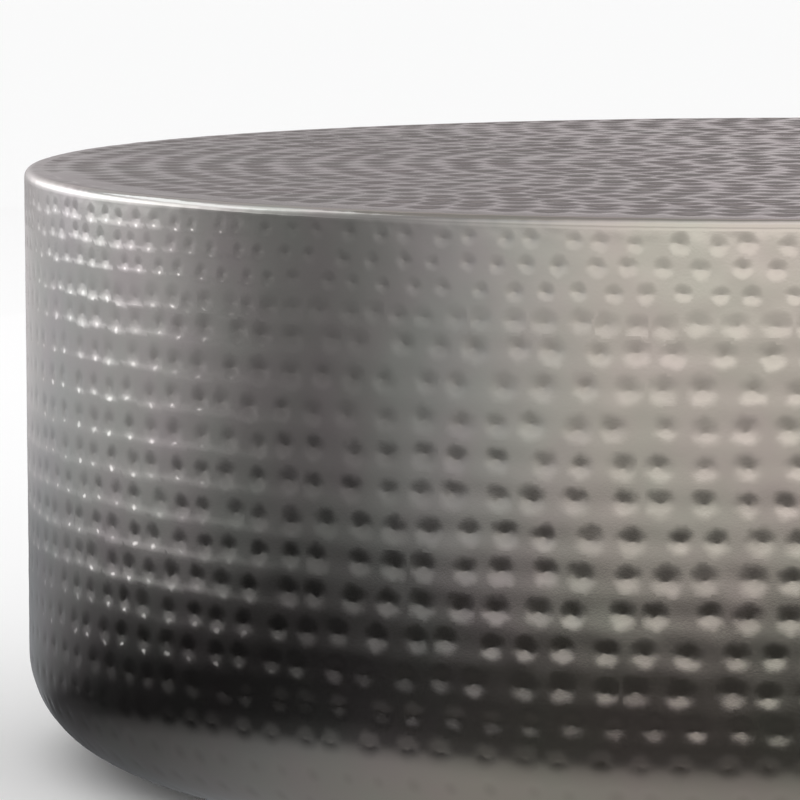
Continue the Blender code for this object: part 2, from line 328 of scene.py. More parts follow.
facet = add(tree, "ShaderNodeMath", [facet, press], operation="MULTIPLY")
height = add(tree, "ShaderNodeSeparateXYZ", [here], output=2)
sideways = add(tree, "ShaderNodeSeparateXYZ", [here], output=0)
sideways = add(tree, "ShaderNodeMath", [sideways], operation="ABSOLUTE")
ridge = add(tree, "ShaderNodeAttribute", output="Fac", attribute_name="ridge")
ridge = fade(tree, ridge, [(height, *RIDGE_HEIGHTS)])
facet = fade(tree, facet, [(lean, *HEEL_LEANS)])
facet = add(tree, "ShaderNodeMath", [facet, ridge], operation="ADD")
facet = fade(tree, facet, [(height, *HEEL_HEIGHTS), (sideways, *HEEL_SIDES)])
facet = add(tree, "ShaderNodeCombineXYZ", [0.0, 0.0, facet])
tilt = add(tree, "ShaderNodeVectorMath", [tilt, facet], operation="ADD")
# A beaten sheet keeps the way that it faced before its rows were beaten in. Where a piece has no
# such record, as on the top and the straps, the metal faces as its mesh does.
plain = add(tree, "ShaderNodeAttribute", output="Vector", attribute_name="plain")
beaten = add(tree, "ShaderNodeVectorMath", [plain, plain], output=1, operation="DOT_PRODUCT")
plain = add(tree, "ShaderNodeVectorMath", [plain, tilt], operation="ADD")
plain = add(
    tree,
    "ShaderNodeVectorTransform",
    [plain],
    vector_type="VECTOR",
    convert_from="OBJECT",
    convert_to="WORLD",
)
facing = add(tree, "ShaderNodeNewGeometry", output="Normal")
facing = add(
    tree,
    "ShaderNodeMix",
    {"Factor": beaten, 4: facing, 5: plain},
    output=1,
    data_type="VECTOR",
)
facing = add(tree, "ShaderNodeVectorMath", [facing], operation="NORMALIZE")
bump = add(
    tree,
    "ShaderNodeBump",
    {"Height": rub, "Strength": 0.06, "Distance": 0.0002, "Normal": facing},
)
shader = add(
    tree,
    "ShaderNodeBsdfPrincipled",
    {"Base Color": colour, "Metallic": 1.0, "Roughness": satin, "Normal": bump},
)
add(tree, "ShaderNodeOutputMaterial", {"Surface": shader})


def new_tree(name, sizes, results):
    """A Geometry Nodes tree with named inputs and outputs, and the sockets of its inputs."""
    kinds = {float: "NodeSocketFloat", int: "NodeSocketInt"}
    tree = bpy.data.node_groups.new(name, "GeometryNodeTree")
    for label, value in sizes.items():
        kind = kinds.get(type(value), value)
        socket = tree.interface.new_socket(label, in_out="INPUT", socket_type=kind)
        if kind != value:
            socket.default_value = value
    for label, kind in results.items():
        tree.interface.new_socket(label, in_out="OUTPUT", socket_type=kind)
    return tree, tree.nodes.new("NodeGroupInput").outputs


# The outer line of the drum, from the top's margin over the rounded edge, down the side, round the
# foot and in along the lip. Down is the length along it from the start of the rounded edge.
RADIUS = 0.457
HEIGHT = 0.343
EDGE_RADIUS = 0.005
FOOT_RADIUS = 0.058
FOOT_CENTRE = 0.064
QUARTER = math.pi / 2
EDGE_LENGTH = EDGE_RADIUS * QUARTER
SIDE_LENGTH = HEIGHT - EDGE_RADIUS - FOOT_CENTRE
FOOT_LENGTH = FOOT_RADIUS * QUARTER

outline, given = new_tree(
    "drum_outline",
    {
        "Angle": 0.0,
        "Down": 0.0,
        "Radius": RADIUS,
        "Height": HEIGHT,
        "Edge radius": EDGE_RADIUS,
        "Edge length": EDGE_LENGTH,
        "Side length": SIDE_LENGTH,
        "Foot radius": FOOT_RADIUS,
        "Foot length": FOOT_LENGTH,
    },
    {"Position": "NodeSocketVector", "Outwards": "NodeSocketVector"},
)
tree = outline
down = given["Down"]
margin = add(tree, "ShaderNodeMath", [down, 0.0], operation="MINIMUM")
edge_share = add(tree, "ShaderNodeMath", [down, given["Edge radius"]], operation="DIVIDE")
edge_turn = add(tree, "ShaderNodeClamp", [edge_share, 0.0, QUARTER])
below_edge = add(tree, "ShaderNodeMath", [down, given["Edge length"]], operation="SUBTRACT")
fall = add(tree, "ShaderNodeClamp", [below_edge, 0.0, given["Side length"]])
below_side = add(tree, "ShaderNodeMath", [below_edge, given["Side length"]], operation="SUBTRACT")
foot_share = add(tree, "ShaderNodeMath", [below_side, given["Foot radius"]], operation="DIVIDE")
foot_turn = add(tree, "ShaderNodeClamp", [foot_share, 0.0, QUARTER])
below_foot = add(tree, "ShaderNodeMath", [below_side, given["Foot length"]], operation="SUBTRACT")
lip = add(tree, "ShaderNodeMath", [below_foot, 0.0], operation="MAXIMUM")
edge_sin = add(tree, "ShaderNodeMath", [edge_turn], operation="SINE")
edge_cos = add(tree, "ShaderNodeMath", [edge_turn], operation="COSINE")
foot_sin = add(tree, "ShaderNodeMath", [foot_turn], operation="SINE")
foot_cos = add(tree, "ShaderNodeMath", [foot_turn], operation="COSINE")
flat_r = add(tree, "ShaderNodeMath", [given["Radius"], given["Edge radius"]], operation="SUBTRACT")
flat_r = add(tree, "ShaderNodeMath", [flat_r, margin], operation="ADD")
edge_r = add(
    tree,
    "ShaderNodeMath",
    [edge_sin, given["Edge radius"], flat_r],
    operation="MULTIPLY_ADD",
)
foot_in = add(tree, "ShaderNodeMath", [1.0, foot_cos], operation="SUBTRACT")
foot_in = add(
    tree, "ShaderNodeMath", [foot_in, given["Foot radius"], lip], operation="MULTIPLY_ADD"
)
out_r = add(tree, "ShaderNodeMath", [edge_r, foot_in], operation="SUBTRACT")
edge_drop = add(tree, "ShaderNodeMath", [1.0, edge_cos], operation="SUBTRACT")
edge_drop = add(
    tree, "ShaderNodeMath", [edge_drop, given["Edge radius"], fall], operation="MULTIPLY_ADD"
)
drop = add(
    tree, "ShaderNodeMath", [foot_sin, given["Foot radius"], edge_drop], operation="MULTIPLY_ADD"
)
up = add(tree, "ShaderNodeMath", [given["Height"], drop], operation="SUBTRACT")
turned = add(tree, "ShaderNodeMath", [edge_turn, foot_turn], operation="ADD")
out_share = add(tree, "ShaderNodeMath", [turned], operation="SINE")
up_share = add(tree, "ShaderNodeMath", [turned], operation="COSINE")
round_x = add(tree, "ShaderNodeMath", [given["Angle"]], operation="COSINE")
round_y = add(tree, "ShaderNodeMath", [given["Angle"]], operation="SINE")
place_x = add(tree, "ShaderNodeMath", [out_r, round_x], operation="MULTIPLY")
place_y = add(tree, "ShaderNodeMath", [out_r, round_y], operation="MULTIPLY")
place = add(tree, "ShaderNodeCombineXYZ", [place_x, place_y, up])
out_x = add(tree, "ShaderNodeMath", [out_share, round_x], operation="MULTIPLY")
out_y = add(tree, "ShaderNodeMath", [out_share, round_y], operation="MULTIPLY")
outwards = add(tree, "ShaderNodeCombineXYZ", [out_x, out_y, up_share])
add(tree, "NodeGroupOutput", [place, outwards])

# Level rows of hammer blows round that outline. Each blow slips a little along and across its row.
rows, given = new_tree(
    "hammer_rows",
    {
        "First": 0.0,
        "Pitch": 0.019,
        "Rows": 1,
        "Blows": 100,
        "Slip": 0.003,
        "Rise": 0.001,
        "Drift": 0.005,
        "Depth": 0.001,
        "Width": 0.008,
        "Radius": RADIUS,
        "Seed": 0,
    },
    {"Blows": "NodeSocketGeometry"},
)
tree = rows
index = add(tree, "GeometryNodeInputIndex")
row = add(tree, "ShaderNodeMath", [index, given["Blows"]], operation="DIVIDE")
row = add(tree, "ShaderNodeMath", [row], operation="FLOOR")
before = add(tree, "ShaderNodeMath", [row, given["Blows"]], operation="MULTIPLY")
column = add(tree, "ShaderNodeMath", [index, before], operation="SUBTRACT")
# A random number has its limits in inputs 2 and 3, and comes out of output 1.
phase = add(
    tree, "FunctionNodeRandomValue", {2: 0.0, 3: 1.0, "ID": row, "Seed": given["Seed"]}, output=1
)
column = add(tree, "ShaderNodeMath", [column, phase], operation="ADD")
step = add(tree, "ShaderNodeMath", [math.tau, given["Blows"]], operation="DIVIDE")
even = add(tree, "ShaderNodeMath", [column, step], operation="MULTIPLY")
even_x = add(tree, "ShaderNodeMath", [even], operation="COSINE")
even_y = add(tree, "ShaderNodeMath", [even], operation="SINE")
spot = add(tree, "ShaderNodeCombineXYZ", [even_x, even_y, row])
DRIFT_SCALE = 3.1
wave = add(
    tree,
    "ShaderNodeTexNoise",
    {"Vector": spot, "Scale": DRIFT_SCALE, "Detail": 1.0},
    output=1,
)
wave = add(tree, "ShaderNodeVectorMath", [wave, (NOISE_MIDDLE,) * 3], operation="SUBTRACT")
wave_along = add(tree, "ShaderNodeSeparateXYZ", [wave], output=0)
wave_across = add(tree, "ShaderNodeSeparateXYZ", [wave], output=1)
slip = add(
    tree,
    "FunctionNodeRandomValue",
    {2: -1.0, 3: 1.0, "ID": index, "Seed": given["Seed"]},
    output=1,
)
slip = add(tree, "ShaderNodeMath", [slip, given["Slip"]], operation="MULTIPLY")
slip = add(tree, "ShaderNodeMath", [wave_along, given["Drift"], slip], operation="MULTIPLY_ADD")
slip = add(tree, "ShaderNodeMath", [slip, given["Radius"]], operation="DIVIDE")
angle = add(tree, "ShaderNodeMath", [even, slip], operation="ADD")
second = add(tree, "ShaderNodeMath", [given["Seed"], 1.0], operation="ADD")
third = add(tree, "ShaderNodeMath", [given["Seed"], 2.0], operation="ADD")
fourth = add(tree, "ShaderNodeMath", [given["Seed"], 3.0], operation="ADD")
rise = add(
    tree, "FunctionNodeRandomValue", {2: -1.0, 3: 1.0, "ID": index, "Seed": second}, output=1
)
rise = add(tree, "ShaderNodeMath", [rise, given["Rise"]], operation="MULTIPLY")
rise = add(tree, "ShaderNodeMath", [wave_across, given["Drift"], rise], operation="MULTIPLY_ADD")
level = add(
    tree, "ShaderNodeMath", [row, given["Pitch"], given["First"]], operation="MULTIPLY_ADD"
)
level = add(tree, "ShaderNodeMath", [level, rise], operation="ADD")
place = add(tree, "GeometryNodeGroup", {"Angle": angle, "Down": level}, node_tree=outline)
count = add(tree, "ShaderNodeMath", [given["Rows"], given["Blows"]], operation="MULTIPLY")
points = add(tree, "GeometryNodePoints", {"Count": count, "Position": place})
SOFTEST_BLOW = 0.82
HARDEST_BLOW = 1.10
force = add(
    tree,
    "FunctionNodeRandomValue",
    {2: SOFTEST_BLOW, 3: HARDEST_BLOW, "ID": index, "Seed": third},
    output=1,
)
force = add(tree, "ShaderNodeMath", [force, given["Depth"]], operation="MULTIPLY")
# They fall harder towards the two seams, where straps back the sheet.
HARDER_BY = (1.0, 1.25)
HARDER_PLACES = (0.29, 0.42)
aside = add(tree, "ShaderNodeSeparateXYZ", [place], output=0)
aside = add(tree, "ShaderNodeMath", [aside], operation="ABSOLUTE")
harder = add(
    tree,
    "ShaderNodeMapRange",
    [aside, *HARDER_PLACES, *HARDER_BY],
    interpolation_type="SMOOTHSTEP",
)
force = add(tree, "ShaderNodeMath", [force, harder], operation="MULTIPLY")
NARROWEST_BLOW = 0.9
WIDEST_BLOW = 1.1
spread = add(
    tree,
    "FunctionNodeRandomValue",
    {2: NARROWEST_BLOW, 3: WIDEST_BLOW, "ID": index, "Seed": fourth},
    output=1,
)
spread = add(tree, "ShaderNodeMath", [spread, given["Width"]], operation="MULTIPLY")
for name, value in (("depth", force), ("width", spread)):
    points = add(
        tree,
        "GeometryNodeStoreNamedAttribute",
        {"Geometry": points, "Name": name, "Value": value},
        data_type="FLOAT",
        domain="POINT",
    )
add(tree, "NodeGroupOutput", [points])

# How far a spot on a sheet is driven in by the nearest blow of a round blunt punch, how steep the
# mark is there, and how far away the blow is in radiuses of the mark.
PUNCH_END = 0.0010
dents, given = new_tree(
    "hammer_marks",
    {
        "Blows": "NodeSocketGeometry",
        "Spot": "NodeSocketVector",
        "Punch end": PUNCH_END,
        "Squeeze": 1.0,
    },
    {"Depth": "NodeSocketFloat", "Lean": "NodeSocketFloat", "From blow": "NodeSocketVector"},
)
tree = dents
blows = given["Blows"]
punch = given["Punch end"]
where = add(tree, "GeometryNodeInputPosition")
depth_name = add(tree, "GeometryNodeInputNamedAttribute", {"Name": "depth"}, data_type="FLOAT")
width_name = add(tree, "GeometryNodeInputNamedAttribute", {"Name": "width"}, data_type="FLOAT")
nearest = add(
    tree, "GeometryNodeSampleNearest", {"Geometry": blows, "Sample Position": given["Spot"]}
)
middle = add(
    tree,
    "GeometryNodeSampleIndex",
    {"Geometry": blows, "Value": where, "Index": nearest},
    data_type="FLOAT_VECTOR",
)
deepest = add(
    tree,
    "GeometryNodeSampleIndex",
    {"Geometry": blows, "Value": depth_name, "Index": nearest},
    data_type="FLOAT",
)
width = add(
    tree,
    "GeometryNodeSampleIndex",
    {"Geometry": blows, "Value": width_name, "Index": nearest},
    data_type="FLOAT",
)
away = add(tree, "ShaderNodeVectorMath", [given["Spot"], middle], operation="SUBTRACT")
squeeze = add(tree, "ShaderNodeCombineXYZ", [given["Squeeze"], given["Squeeze"], 1.0])
away = add(tree, "ShaderNodeVectorMath", [away, squeeze], operation="MULTIPLY")
away_squared = add(tree, "ShaderNodeVectorMath", [away, away], output=1, operation="DOT_PRODUCT")
punch_squared = add(tree, "ShaderNodeMath", [punch, punch], operation="MULTIPLY")
soft_away = add(tree, "ShaderNodeMath", [away_squared, punch_squared], operation="ADD")
soft_away = add(tree, "ShaderNodeMath", [soft_away, 0.5], operation="POWER")
soft_away = add(tree, "ShaderNodeMath", [soft_away, punch], operation="SUBTRACT")
soft_width = add(tree, "ShaderNodeMath", [width, width, punch_squared], operation="MULTIPLY_ADD")
soft_width = add(tree, "ShaderNodeMath", [soft_width, 0.5], operation="POWER")
soft_width = add(tree, "ShaderNodeMath", [soft_width, punch], operation="SUBTRACT")
share = add(tree, "ShaderNodeMath", [soft_away, soft_width], operation="DIVIDE")
share = add(tree, "ShaderNodeMath", [1.0, share], operation="SUBTRACT", use_clamp=True)
driven = add(tree, "ShaderNodeMath", [share, deepest], operation="MULTIPLY")
one_width = add(tree, "ShaderNodeMath", [1.0, width], operation="DIVIDE")
away = add(tree, "ShaderNodeVectorMath", {0: away, "Scale": one_width}, operation="SCALE")
lean = add(tree, "ShaderNodeMath", [deepest, width], operation="DIVIDE")
add(tree, "NodeGroupOutput", [driven, lean, away])

# The beaten sheet itself: a closed skin that runs down the outline's outer face between two levels
# and back up its inner face, moved in at every hammer mark.
SHEET = 0.0016
sheet, given = new_tree(
    "beaten_sheet",
    {
        "From": 0.0,
        "To": 0.1,
        "Start": 0.0,
        "Sweep": math.tau,
        "Columns": 100,
        "Rings": 10,
        "Back rings": 2,
        "Thickness": SHEET,
        "Edge first": 0.0155,
        "Edge pitch": 0.0127,
        "Edge rows": 3,
        "Edge blows": 155,
        "Joint first": 0.0570,
        "Joint blows": 172,
        "Side first": 0.0715,
        "Side pitch": 0.0193,
        "Side rows": 16,
        "Side blows": 130,
        "Edge depth": 0.00030,
        "Joint depth": 0.00030,
        "Side depth": 0.00039,
        "Edge width": 0.0068,
        "Joint width": 0.0092,
        "Side width": 0.0104,
        "Waviness": 0.0004,
        "Fine waviness": 0.00013,
        "Edge waviness": 0.00030,
        "Groove": 0.00002,
        "Seed": 11,
        "Finish": "NodeSocketMaterial",
    },
    {"Sheet": "NodeSocketGeometry"},
)
tree = sheet
seed_two = add(tree, "ShaderNodeMath", [given["Seed"], 10.0], operation="ADD")
seed_three = add(tree, "ShaderNodeMath", [given["Seed"], 20.0], operation="ADD")
edge_rows = add(
    tree,
    "GeometryNodeGroup",
    {
        "First": given["Edge first"],
        "Pitch": given["Edge pitch"],
        "Rows": given["Edge rows"],
        "Blows": given["Edge blows"],
        "Depth": given["Edge depth"],
        "Width": given["Edge width"],
        "Seed": given["Seed"],
        "Slip": 0.0030,
        "Rise": 0.0008,
        "Drift": 0.0030,
    },
    node_tree=rows,
)
joint_row = add(
    tree,
    "GeometryNodeGroup",
    {
        "First": given["Joint first"],
        "Blows": given["Joint blows"],
        "Depth": given["Joint depth"],
        "Width": given["Joint width"],
        "Seed": seed_two,
        "Slip": 0.0036,
        "Rise": 0.0014,
        "Drift": 0.0030,
    },
    node_tree=rows,
)
side_rows = add(
    tree,
    "GeometryNodeGroup",
    {
        "First": given["Side first"],
        "Pitch": given["Side pitch"],
        "Rows": given["Side rows"],
        "Blows": given["Side blows"],
        "Depth": given["Side depth"],
        "Width": given["Side width"],
        "Seed": seed_three,
        "Slip": 0.0034,
        "Rise": 0.0008,
        "Drift": 0.0036,
    },
    node_tree=rows,
)
index = add(tree, "GeometryNodeInputIndex")
# Each column of points runs down the outer face, back up the inner one, and ends where it began.
back_last = add(tree, "ShaderNodeMath", [given["Rings"], given["Back rings"]], operation="ADD")
loop = add(tree, "ShaderNodeMath", [back_last, 3.0], operation="ADD")
across = add(tree, "ShaderNodeMath", [given["Columns"], 1.0], operation="ADD")
skin = add(tree, "GeometryNodeMeshGrid", {"Vertices X": across, "Vertices Y": loop})
column = add(tree, "ShaderNodeMath", [index, loop], operation="DIVIDE")
column = add(tree, "ShaderNodeMath", [column], operation="FLOOR")
before = add(tree, "ShaderNodeMath", [column, loop], operation="MULTIPLY")
ring = add(tree, "ShaderNodeMath", [index, before], operation="SUBTRACT")
turn_step = add(tree, "ShaderNodeMath", [given["Sweep"], given["Columns"]], operation="DIVIDE")
angle = add(
    tree, "ShaderNodeMath", [column, turn_step, given["Start"]], operation="MULTIPLY_ADD"
)
front_share = add(tree, "ShaderNodeMath", [ring, given["Rings"]], operation="DIVIDE")
past = add(tree, "ShaderNodeMath", [ring, given["Rings"]], operation="SUBTRACT")
past = add(tree, "ShaderNodeMath", [past, 1.0], operation="SUBTRACT")
back_share = add(tree, "ShaderNodeMath", [past, given["Back rings"]], operation="DIVIDE")
back_share = add(tree, "ShaderNodeMath", [1.0, back_share], operation="SUBTRACT", use_clamp=True)
after_front = add(tree, "ShaderNodeMath", [ring, given["Rings"]], operation="GREATER_THAN")
back_end = add(tree, "ShaderNodeMath", [back_last, 1.5], operation="ADD")
before_close = add(tree, "ShaderNodeMath", [ring, back_end], operation="LESS_THAN")
inside = add(tree, "ShaderNodeMath", [after_front, before_close], operation="MULTIPLY")
run = add(
    tree,
    "ShaderNodeMix",
    {"Factor": after_front, 2: front_share, 3: back_share},
    data_type="FLOAT",
    clamp_factor=False,
)
span = add(tree, "ShaderNodeMath", [given["To"], given["From"]], operation="SUBTRACT")
level = add(tree, "ShaderNodeMath", [run, span, given["From"]], operation="MULTIPLY_ADD")
spot = add(tree, "GeometryNodeGroup", {"Angle": angle, "Down": level}, node_tree=outline)
outwards = spot.node.outputs["Outwards"]
# The blows along the joint under the rim are drawn out sideways and run into one another.
JOINT_SQUEEZE = 0.90
EASE = 0.00008
driven = None
for some, squeeze in ((edge_rows, 1.0), (joint_row, JOINT_SQUEEZE), (side_rows, 1.0)):
    marks = {"Blows": some, "Spot": spot, "Squeeze": squeeze}
    deep = add(tree, "GeometryNodeGroup", marks, node_tree=dents)
    near = deep.node.outputs["Lean"]
    offset = deep.node.outputs["From blow"]
    if driven is None:
        driven, lean, from_blow = deep, near, offset
        continue
    driven = add(tree, "ShaderNodeMath", [driven, deep, EASE], operation="SMOOTH_MAX")
    far = add(tree, "ShaderNodeVectorMath", [from_blow], output=1, operation="LENGTH")
    close = add(tree, "ShaderNodeVectorMath", [offset], output=1, operation="LENGTH")
    nearer = add(tree, "ShaderNodeMath", [close, far], operation="LESS_THAN")
    from_blow = add(
        tree,
        "ShaderNodeMix",
        {"Factor": nearer, 4: from_blow, 5: offset},
        output=1,
        data_type="VECTOR",
    )
    lean = add(tree, "ShaderNodeMix", {"Factor": nearer, 2: lean, 3: near}, data_type="FLOAT")
# The sheet itself is a little uneven, and sunk along each row of blows.
groove = add(tree, "ShaderNodeMath", [level, given["Side first"]], operation="SUBTRACT")
groove = add(tree, "ShaderNodeMath", [groove, given["Side pitch"]], operation="DIVIDE")
FIRST_GROOVE = -0.5
started = add(tree, "ShaderNodeMath", [groove, FIRST_GROOVE], operation="GREATER_THAN")
groove = add(tree, "ShaderNodeMath", [groove, math.tau], operation="MULTIPLY")
groove = add(tree, "ShaderNodeMath", [groove], operation="COSINE")
groove = add(tree, "ShaderNodeMath", [groove, 1.0], operation="ADD")
groove = add(tree, "ShaderNodeMath", [groove, started], operation="MULTIPLY")
groove = add(tree, "ShaderNodeMath", [groove, given["Groove"]], operation="MULTIPLY")
FINE_WAVE_MM = 17
fine_wave = add(
    tree, "ShaderNodeTexNoise", {"Vector": spot, "Scale": 1000 / FINE_WAVE_MM, "Detail": 0.0}
)
fine_wave = add(tree, "ShaderNodeMath", [fine_wave, NOISE_MIDDLE], operation="SUBTRACT")
fine_wave = add(tree, "ShaderNodeMath", [fine_wave, given["Fine waviness"]], operation="MULTIPLY")
fine_wave = add(tree, "ShaderNodeMath", [fine_wave, groove], operation="SUBTRACT")
# The rounded edge is dressed with a flat hammer, which leaves it slightly faceted.
EDGE_WAVE_MM = 11
DRESSED_FROM = (-0.005, 0.001)
DRESSED_TO = (0.016, 0.008)
edge_wave = add(
    tree, "ShaderNodeTexNoise", {"Vector": spot, "Scale": 1000 / EDGE_WAVE_MM, "Detail": 1.0}
)
edge_wave = add(tree, "ShaderNodeMath", [edge_wave, NOISE_MIDDLE], operation="SUBTRACT")
edge_wave = add(tree, "ShaderNodeMath", [edge_wave, given["Edge waviness"]], operation="MULTIPLY")
edge_wave = fade(tree, edge_wave, [(level, *DRESSED_FROM), (level, *DRESSED_TO)])
fine_wave = add(tree, "ShaderNodeMath", [fine_wave, edge_wave], operation="ADD")
WAVE_MM = 90
wave = add(
    tree, "ShaderNodeTexNoise", {"Vector": spot, "Scale": 1000 / WAVE_MM, "Detail": 1.0}
)
wave = add(tree, "ShaderNodeMath", [wave, NOISE_MIDDLE], operation="SUBTRACT")
wave = add(tree, "ShaderNodeMath", [wave, given["Waviness"]], operation="MULTIPLY")
# The inner face follows the waves, and not the marks.
outside = add(tree, "ShaderNodeMath", [1.0, inside], operation="SUBTRACT")
wave = add(tree, "ShaderNodeMath", [wave, fine_wave], operation="ADD")
moved = add(tree, "ShaderNodeMath", [driven, outside], operation="MULTIPLY")
moved = add(tree, "ShaderNodeMath", [wave, moved], operation="SUBTRACT")
sunk = add(tree, "ShaderNodeMath", [inside, given["Thickness"]], operation="MULTIPLY")
moved = add(tree, "ShaderNodeMath", [moved, sunk], operation="SUBTRACT")
offset = add(tree, "ShaderNodeVectorMath", {0: outwards, "Scale": moved}, operation="SCALE")
spot = add(tree, "ShaderNodeVectorMath", [spot, offset], operation="ADD")
mark_share = add(tree, "ShaderNodeMath", [driven, given["Side depth"]], operation="DIVIDE")
# The ridge that joins the punch's heels along a row, as how far it tips the metal up.
RIDGE_WIDTH = 0.34
RIDGE_TIP = 0.046
ridge = add(tree, "ShaderNodeSeparateXYZ", [from_blow], output=2)
ridge = add(tree, "ShaderNodeMath", [ridge, HEEL_DROP], operation="ADD")
ridge = add(tree, "ShaderNodeMath", [ridge], operation="ABSOLUTE")
ridge = add(
    tree,
    "ShaderNodeMapRange",
    {"Value": ridge, "From Min": RIDGE_WIDTH, "From Max": 0.0, "To Max": RIDGE_TIP},
    interpolation_type="SMOOTHSTEP",
)
for name, value, kind in (
    ("mark", mark_share, "FLOAT"),
    ("lean", lean, "FLOAT"),
    ("from_blow", from_blow, "FLOAT_VECTOR"),
    ("ridge", ridge, "FLOAT"),
):
    skin = add(
        tree,
        "GeometryNodeStoreNamedAttribute",
        {"Geometry": skin, "Name": name, "Value": value},
        data_type=kind,
        domain="POINT",
    )
# A face whose corners lie nearest to different blows keeps out of both marks.
TORN = 0.30
offset = add(
    tree, "GeometryNodeInputNamedAttribute", {"Name": "from_blow"}, data_type="FLOAT_VECTOR"
)
middle = add(
    tree, "GeometryNodeFieldOnDomain", {"Value": offset}, data_type="FLOAT_VECTOR", domain="FACE"
)
torn = add(tree, "ShaderNodeVectorMath", [offset, middle], output=1, operation="DISTANCE")
whole = add(tree, "ShaderNodeMath", [torn, TORN], operation="LESS_THAN")
lean = add(tree, "GeometryNodeInputNamedAttribute", {"Name": "lean"}, data_type="FLOAT")
lean = add(tree, "ShaderNodeMath", [lean, whole], operation="MULTIPLY")
skin = add(
    tree,
    "GeometryNodeStoreNamedAttribute",
    {"Geometry": skin, "Name": "lean", "Value": lean},
    data_type="FLOAT",
    domain="CORNER",
)
skin = add(tree, "GeometryNodeSetPosition", {"Geometry": skin, "Position": spot})
WELD = 0.00001
skin = add(tree, "GeometryNodeMergeByDistance", {"Geometry": skin, "Distance": WELD})
skin = add(tree, "GeometryNodeSetShadeSmooth", {"Geometry": skin})
skin = add(tree, "GeometryNodeRealizeInstances", {"Geometry": skin})
skin = add(tree, "GeometryNodeSetMaterial", {"Geometry": skin, "Material": given["Finish"]})
add(tree, "NodeGroupOutput", [skin])

# Edges that turn by more degrees than this stay crisp.
SHARP = 50


def grow(name, tree, values):
    """Run a Geometry Nodes tree and keep what it makes as a plain closed mesh at the origin."""
    obj = bpy.data.objects.new(name, bpy.data.meshes.new(name))
    bpy.context.scene.collection.objects.link(obj)
    maker = obj.modifiers.new(name, "NODES")
    maker.node_group = tree
    for item in tree.interface.items_tree:
        if item.in_out == "INPUT" and item.name in values:
            maker[item.identifier] = values[item.name]
    graph = bpy.context.evaluated_depsgraph_get()
    mesh = bpy.data.meshes.new_from_object(obj.evaluated_get(graph), depsgraph=graph)
    obj.modifiers.remove(maker)
    obj.data = mesh
    mesh.name = name
    shape = bmesh.new()
    shape.from_mesh(mesh)
    rim = [edge for edge in shape.edges if edge.is_boundary]
    if rim:
        bmesh.ops.holes_fill(shape, edges=rim, sides=0)
    if shape.calc_volume(signed=True) < 0:
        bmesh.ops.reverse_faces(shape, faces=shape.faces[:])
    shape.to_mesh(mesh)
    shape.free()
    mesh.set_sharp_from_angle(angle=math.radians(SHARP))
    return obj


# What a sheet is before its rows of marks are driven in.
UNBEATEN = {"Edge depth": 0.0, "Joint depth": 0.0, "Side depth": 0.0}


def beat(name, values):
    """A beaten sheet, that also keeps which way the sheet faced before its rows were beaten in."""
    obj = grow(name, sheet, values)
    smooth = grow(name + "_smooth", sheet, {**values, **UNBEATEN})
    facings = [0.0] * (3 * len(obj.data.loops))
    smooth.data.corner_normals.foreach_get("vector", facings)
    plain = obj.data.attributes.new("plain", "FLOAT_VECTOR", "CORNER")
    plain.data.foreach_set("vector", facings)
    bpy.data.meshes.remove(smooth.data)
    return obj


# A wall runs between two heights, and stops just short of the other wall at each seam. Going round
# the rounded edge is longer than its height, so that much more is counted down the outline.
WALL_TOP = 0.28285
WALL_FOOT = 0.07415
HALF_SEAM = 0.00015
EDGE_EXTRA = EDGE_LENGTH - EDGE_RADIUS
JOINT_LEVEL = HEIGHT - WALL_TOP + EDGE_EXTRA
FOOT_LEVEL = HEIGHT - WALL_FOOT + EDGE_EXTRA
SEAM = HALF_SEAM / RADIUS
WALL_COLUMNS = 750
WALL_RINGS = 124
WALL_BACK_RINGS = 4
for name, start in (("back_wall", 0.0), ("front_wall", math.pi)):
    wall = beat(
        "beaten_" + name,
        {
            "From": JOINT_LEVEL,
            "To": FOOT_LEVEL,
            "Start": start + SEAM,
            "Sweep": math.pi - 2 * SEAM,
            "Columns": WALL_COLUMNS,
            "Rings": WALL_RINGS,
            "Back rings": WALL_BACK_RINGS,
            "Finish": nickel,
        },
    )
    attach(wall, "root")
    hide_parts(name)


# The seam straps: a strip of the same sheet behind each upright seam, inside the drum.
# They are soldered over the two halves' ends, and stay plain because nobody beats the inside.
dress(["left_seam_strap", "right_seam_strap"], nickel)


# The foot: a ring spun in to a large round and a flat lip that carries the glides.
# It is soldered under the side, and the rows of hammer marks run on round its curve.
LIP_LENGTH = 0.034
FOOT_COLUMNS = 1300
FOOT_RINGS = 68
FOOT_BACK_RINGS = 6
foot = beat(
    "beaten_foot",
    {
        "From": FOOT_LEVEL,
        "To": EDGE_LENGTH + SIDE_LENGTH + FOOT_LENGTH + LIP_LENGTH,
        "Columns": FOOT_COLUMNS,
        "Rings": FOOT_RINGS,
        "Back rings": FOOT_BACK_RINGS,
        "Finish": nickel,
    },
)
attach(foot, "root")
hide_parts("base_ring")


# The rim: the rounded edge of the top and its short skirt, raised from the same disc as the top.
# It takes three close rows of small marks, and a beaten trough where it is soldered to the side.
MARGIN = 0.006
RIM_COLUMNS = 1640
RIM_RINGS = 50
RIM_BACK_RINGS = 8
rim = beat(
    "beaten_rim",
    {
        "From": -MARGIN,
        "To": JOINT_LEVEL,
        "Columns": RIM_COLUMNS,
        "Rings": RIM_RINGS,
        "Back rings": RIM_BACK_RINGS,
        "Finish": nickel,
    },
)
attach(rim, "root")
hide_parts("top_pan")


